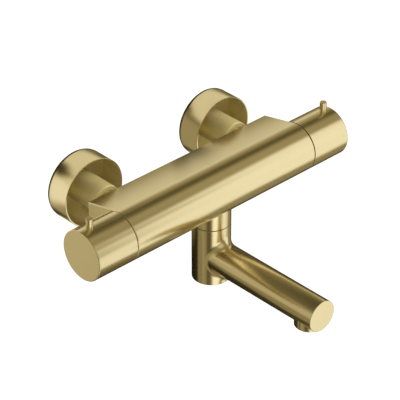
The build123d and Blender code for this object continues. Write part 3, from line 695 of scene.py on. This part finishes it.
def springPiece(settings):
    # Round wire on a helix: middle = axis + (along, radius * cos(angle), radius * sin(angle)), where along
    # and angle grow evenly. One end stands on its seat
    low, high = nodeBox("return_spring")
    wire = settings["wireRadius"]
    radius = (high[2] - low[2]) / 2 - wire
    part = np.linspace(0, 1, settings["turns"] * settings["turnSteps"] + 1)
    angle = 2 * math.pi * settings["turns"] * part
    outward = np.stack([0 * angle, np.cos(angle), np.sin(angle)], -1)
    along = low[0] + wire + (high[0] - low[0] - 2 * wire) * part
    middle = np.stack([along, 0 * along, 0 * along], -1) + barAxis + radius * outward
    run = np.gradient(middle, axis=0)
    run = run / np.linalg.norm(run, axis=1)[:, None]
    across = np.cross(run, outward)
    ring = np.linspace(0, 2 * math.pi, settings["wireSteps"], endpoint=False)[None, :, None]
    tube = middle[:, None] + wire * (np.cos(ring) * outward[:, None] + np.sin(ring) * across[:, None])
    ends = np.repeat(middle[[0, -1], None], settings["wireSteps"], axis=1)
    piece = gridPiece("returnSpring", np.concatenate([ends[:1], tube, ends[1:]]))
    piece.data.materials.append(turnedSteel)
    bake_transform(piece)
    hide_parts("return_spring")


hosePieces(hoseOutlet)
springPiece(spring)
print("hose outlet and spring made")

# Studio: white floor and background, a tent that only reflections see, a wall card with painted light and
# shade that only reflections see too, and soft lamps

studio = {
    "floorDrop": 0.5,
    "floorSize": 12.0,
    "floorPaint": (0.9, 0.9, 0.9),
    "floorRoughness": 0.9,
    "fillLight": 0.55,
    "tentRadius": 1.3,
    "tentGap": 0.04,
    "tentTurns": 360,
    "tentHeights": 181,
    "baseLevel": 0.3,
    "dimLevel": 0.15,
    "dimTint": (1.0, 0.825, 0.385),
    "brightLevel": 1.1,
    "brightTint": (1.0, 0.973, 0.843),
    "glow": 1.15,
    "glowShare": 0.85,
}
# Lamps: the direction they stand in (turn from the front, height) in degrees, distance, size and power
lamps = {
    "windowLamp": (48, 35, 1.6, 1.0, 40.0),
    "fillLamp": (-60, 50, 1.6, 1.2, 2.0),
}
# Each panel of the tent: direction it stands in (turn from the front, height), half its width and height,
# how soft its edge is, all in degrees, and how bright it is
tentPanels = {
    "overhead": (150, 62, 66, 24, 9, 0.15),
    "upperFront": (75, 54, 20, 12, 8, 0.4),
    "leftWall": (-118, 8, 30, 27, 14, 0.5),
    "lowLeft": (-98, -34, 16, 16, 8, 0.38),
    "lowRight": (118, -48, 22, 16, 10, 0.14),
    "nadir": (80, -74, 60, 11, 6, 0.14),
    "floorBounce": (-60, -58, 70, 14, 5, 0.32),
    "leftGap": (-58, -32, 12, 14, 6, 0.09),
    "frontHigh": (-30, 25, 22, 22, 8, 0.7),
    "frontLow": (-17, -38, 20, 30, 6, 1.25),
    "mainWindow": (44.5, 2.5, 17, 39, 5, 1.12),
    "windowCorner": (30, 41, 9, 15, 5, 0.42),
    "windowFoot": (34, -25, 13, 23, 4, 1.08),
}
# The wall card stands behind the mixer. Its levels are painted light and shade of a wall: painted shadow
# below the mixer and round the covers, painted light above and beside it. Its level changes with the
# height, and panels are laid over that: place across and up, half its width and height, soft edge, all in
# metres, and how bright it is
wallCard = {
    "place": 0.01,
    "halfWide": 0.5,
    "low": -0.42,
    "high": 0.36,
    "step": 0.004,
    # Heights and levels: darkest below the mixer and in a dip just above the bar, where painted shadow
    # falls, and brightest in a band of painted light above it
    "heights": (-0.3, -0.12, -0.08, -0.05, 0.02, 0.031, 0.038, 0.044, 0.068, 0.092, 0.135, 0.217, 0.3),
    "levels": (0.035, 0.015, 0.25, 0.38, 0.38, 0.18, 0.45, 0.8, 0.82, 0.52, 0.33, 0.17, 0.07),
    # Shade: a ring of painted shadow on the wall round each cover
    "shadeRadius": 0.0415,
    "shadeEdge": 0.004,
    "shadeLevel": 0.015,
}
wallPanels = {
    # Dark panels are painted shadow of the mixer on the wall, such as the notches, feet and sides by the
    # covers; bright ones, such as the glow, are painted light
    "leftField": (-0.31, -0.04, 0.15, 0.11, 0.03, 0.56),
    "leftLow": (-0.335, -0.24, 0.165, 0.1, 0.015, 0.3),
    "leftHigh": (-0.11, 0.17, 0.13, 0.05, 0.03, 0.16),
    "leftGlow": (-0.142, 0.008, 0.03, 0.032, 0.014, 1.0),
    "rightLow": (0.33, -0.12, 0.2, 0.13, 0.04, 0.07),
    "columnSide": (-0.165, -0.18, 0.02, 0.03, 0.012, 0.3),
    "leftNotch": (-0.107, 0.042, 0.013, 0.011, 0.007, 0.04),
    "rightNotch": (0.045, 0.035, 0.01, 0.006, 0.005, 0.05),
    "leftFoot": (-0.1005, -0.042, 0.007, 0.014, 0.006, 0.03),
    "rightFoot": (0.05, -0.04, 0.006, 0.012, 0.006, 0.04),
    "leftSide": (-0.027, 0.016, 0.009, 0.014, 0.006, 0.12),
    "rightSide": (0.123, 0.016, 0.009, 0.014, 0.006, 0.12),
}


def softStep(value, edge):
    # 1 inside, 0 outside, with a cosine ramp as wide as twice the edge: 0.5 - 0.5 * cos(pi * part)
    part = np.clip((value + edge) / (2 * edge), 0, 1)
    return 0.5 - 0.5 * np.cos(math.pi * part)


def layPanels(level, panels, aside, above):
    # Each panel is laid over what is there: level * (1 - share) + bright * share
    for asideAt, aboveAt, halfWide, halfHigh, edge, bright in panels.values():
        share = softStep(halfWide - aside(asideAt), edge) * softStep(halfHigh - above(aboveAt), edge)
        level = level * (1 - share) + bright * share
    return level


def layOnTent(level, panels, turn, height):
    # Distances from a panel's middle are in degrees, the turn counted the short way round
    def aside(at):
        return np.abs((turn - at + 180) % 360 - 180)

    return layPanels(level, panels, aside, lambda at: np.abs(height - at))


def layOnWall(level, panels, across, up):
    # Distances from a panel's middle are in metres
    return layPanels(level, panels, lambda at: np.abs(across - at), lambda at: np.abs(up - at))


def glowingSheet(name, points, index, level):
    # Sheet that only reflections see. Dim parts are warm as a room, bright ones cooler as daylight:
    # tint = dim + (bright - dim) * share, and the share grows with the level
    mesh = bpy.data.meshes.new(name)
    mesh.from_pydata(points.reshape(-1, 3).tolist(), [], gridFaces(index.T).tolist())
    dim, bright = studio["dimLevel"], studio["brightLevel"]
    share = np.clip((level - dim) / (bright - dim), 0, 1)[..., None]
    tint = np.array(studio["dimTint"]) * (1 - share) + np.array(studio["brightTint"]) * share
    colour = np.concatenate([level[..., None] * tint, np.ones((*level.shape, 1))], -1)
    attribute = mesh.attributes.new("level", "FLOAT_COLOR", "POINT")
    attribute.data.foreach_set("color", colour.ravel().astype(np.float32))
    sheet = bpy.data.objects.new(name, mesh)
    bpy.context.scene.collection.objects.link(sheet)
    material = bpy.data.materials.new(f"{name}Cloth")
    material.use_nodes = True
    tree = material.node_tree
    tree.nodes.clear()
    read = tree.nodes.new("ShaderNodeAttribute")
    read.attribute_name = "level"
    glow = tree.nodes.new("ShaderNodeEmission")
    out = tree.nodes.new("ShaderNodeOutputMaterial")
    glow.inputs["Strength"].default_value = 1
    tree.links.new(read.outputs["Color"], glow.inputs["Color"])
    tree.links.new(glow.outputs["Emission"], out.inputs["Surface"])
    material.cycles.emission_sampling = "NONE"
    mesh.materials.append(material)
    sheet.visible_camera = False
    sheet.visible_diffuse = False
    sheet.visible_shadow = False
    sheet.visible_transmission = False


def tentPiece():
    # Half ball over a flat base: along each direction the reach is the radius, or depth / -(direction's
    # height) where that is less
    turn = np.linspace(-180, 180, studio["tentTurns"], endpoint=False)[None]
    height = np.linspace(-90, 90, studio["tentHeights"])[:, None]
    level = layOnTent(studio["baseLevel"] + 0 * (turn + height), tentPanels, turn, height)
    direction = towards(turn, height)
    depth = studio["floorDrop"] - studio["tentGap"]
    reach = np.minimum(studio["tentRadius"], depth / np.maximum(-direction[..., 2:], tiny))
    index = np.arange(level.size).reshape(level.shape)
    index = np.hstack([index, index[:, :1]])
    glowingSheet("tent", barAxis + reach * direction, index, level)


def wallPiece(settings):
    # Upright sheet: a grid of points over x and z at one place behind the mixer, with painted light and
    # shade in its levels
    wide, step = settings["halfWide"], settings["step"]
    across = np.arange(-wide, wide + step / 2, step)[None]
    up = np.arange(settings["low"], settings["high"] + step / 2, step)[:, None]
    level = np.interp(up, settings["heights"], settings["levels"]) + 0 * across
    level = layOnWall(level, wallPanels, across, up)
    # Painted shadow ring round each cover
    for name in ("left", "right"):
        low, high = nodeBox(f"rosette_{name}")
        away = np.hypot(across - (low[0] + high[0]) / 2, up)
        share = softStep(settings["shadeRadius"] - away, settings["shadeEdge"])
        level = level * (1 - share) + settings["shadeLevel"] * share
    grid = np.stack(np.broadcast_arrays(across, settings["place"], up), -1)
    glowingSheet("wallCard", grid, np.arange(level.size).reshape(level.shape), level)


def backgroundShare(tree):
    # Factor that is 1 for what the camera, a reflection or a clear piece sees directly
    path = tree.nodes.new("ShaderNodeLightPath")
    first = tree.nodes.new("ShaderNodeMath")
    second = tree.nodes.new("ShaderNodeMath")
    first.operation = second.operation = "MAXIMUM"
    tree.links.new(path.outputs["Is Camera Ray"], first.inputs[0])
    tree.links.new(path.outputs["Is Glossy Ray"], first.inputs[1])
    tree.links.new(first.outputs[0], second.inputs[0])
    tree.links.new(path.outputs["Is Transmission Ray"], second.inputs[1])
    return second.outputs[0]


def floorPiece():
    # Pale floor that also glows where the camera or a reflection sees it, so that it joins the background
    half, level = studio["floorSize"] / 2, -studio["floorDrop"]
    corners = ((-half, -half), (half, -half), (half, half), (-half, half))
    points = np.array([(*corner, level) for corner in corners])
    floor = meshPiece("floor", points, np.array([[0, 1, 2, 3]]))
    material = bpy.data.materials.new("whiteFloor")
    material.use_nodes = True
    tree = material.node_tree
    paint = tree.nodes["Principled BSDF"]
    paint.inputs["Base Color"].default_value = (*studio["floorPaint"], 1)
    paint.inputs["Roughness"].default_value = studio["floorRoughness"]
    glow = tree.nodes.new("ShaderNodeEmission")
    glow.inputs["Strength"].default_value = studio["glow"]
    mix = tree.nodes.new("ShaderNodeMixShader")
    scale = tree.nodes.new("ShaderNodeMath")
    scale.operation = "MULTIPLY"
    scale.inputs[1].default_value = studio["glowShare"]
    tree.links.new(backgroundShare(tree), scale.inputs[0])
    tree.links.new(scale.outputs[0], mix.inputs[0])
    tree.links.new(paint.outputs[0], mix.inputs[1])
    tree.links.new(glow.outputs[0], mix.inputs[2])
    tree.links.new(mix.outputs[0], tree.nodes["Material Output"].inputs["Surface"])
    floor.data.materials.append(material)


def worldLight():
    # White where it is seen directly, and a weaker even light on everything else
    world = bpy.data.worlds.new("studioWorld")
    bpy.context.scene.world = world
    world.use_nodes = True
    tree = world.node_tree
    fill = tree.nodes["Background"]
    fill.inputs["Color"].default_value = (1, 1, 1, 1)
    fill.inputs["Strength"].default_value = studio["fillLight"]
    white = tree.nodes.new("ShaderNodeBackground")
    white.inputs["Color"].default_value = (1, 1, 1, 1)
    white.inputs["Strength"].default_value = 1
    mix = tree.nodes.new("ShaderNodeMixShader")
    tree.links.new(backgroundShare(tree), mix.inputs[0])
    tree.links.new(fill.outputs[0], mix.inputs[1])
    tree.links.new(white.outputs[0], mix.inputs[2])
    tree.links.new(mix.outputs[0], tree.nodes["World Output"].inputs["Surface"])


def softLamp(name, turn, height, distance, size, power):
    # Square lamp at axis + direction * distance, which looks at the bar's middle and isn't seen itself
    direction = towards(turn, height)
    data = bpy.data.lights.new(name, "AREA")
    data.size = size
    data.energy = power
    lamp = bpy.data.objects.new(name, data)
    bpy.context.scene.collection.objects.link(lamp)
    lamp.location = barAxis + direction * distance
    lamp.rotation_mode = "QUATERNION"
    lamp.rotation_quaternion = Vector(-direction).to_track_quat("-Z", "Y")
    lamp.visible_camera = False
    lamp.visible_glossy = False


tentPiece()
wallPiece(wallCard)
floorPiece()
worldLight()
for name, lampSettings in lamps.items():
    softLamp(name, *lampSettings)
print("studio made")

# Camera: the photograph's direction, distance and aim

photo = {
    "turn": -43.392,
    "height": 32.819,
    "distance": 1.678,
    "focalPixels": 1999.1,
    "imagePixels": 400,
    "sensor": 36.0,
    "target": (-0.013341, 0.0, -0.004372),
    "clipStart": 0.1,
    "clipEnd": 50,
}


def photoCamera(settings):
    # Stands at target + back * distance and looks along -back. Lens = focal pixels * sensor / image pixels
    back = towards(settings["turn"], settings["height"])
    data = bpy.data.cameras.new("photoCamera")
    data.sensor_width = settings["sensor"]
    data.lens = settings["focalPixels"] * settings["sensor"] / settings["imagePixels"]
    data.clip_start = settings["clipStart"]
    data.clip_end = settings["clipEnd"]
    camera = bpy.data.objects.new("photoCamera", data)
    bpy.context.scene.collection.objects.link(camera)
    camera.location = barAxis + np.array(settings["target"]) + back * settings["distance"]
    camera.rotation_mode = "QUATERNION"
    camera.rotation_quaternion = Vector(-back).to_track_quat("-Z", "Y")
    bpy.context.scene.camera = camera


photoCamera(photo)
bpy.context.scene.view_settings.view_transform = "Standard"
bpy.context.view_layer.update()
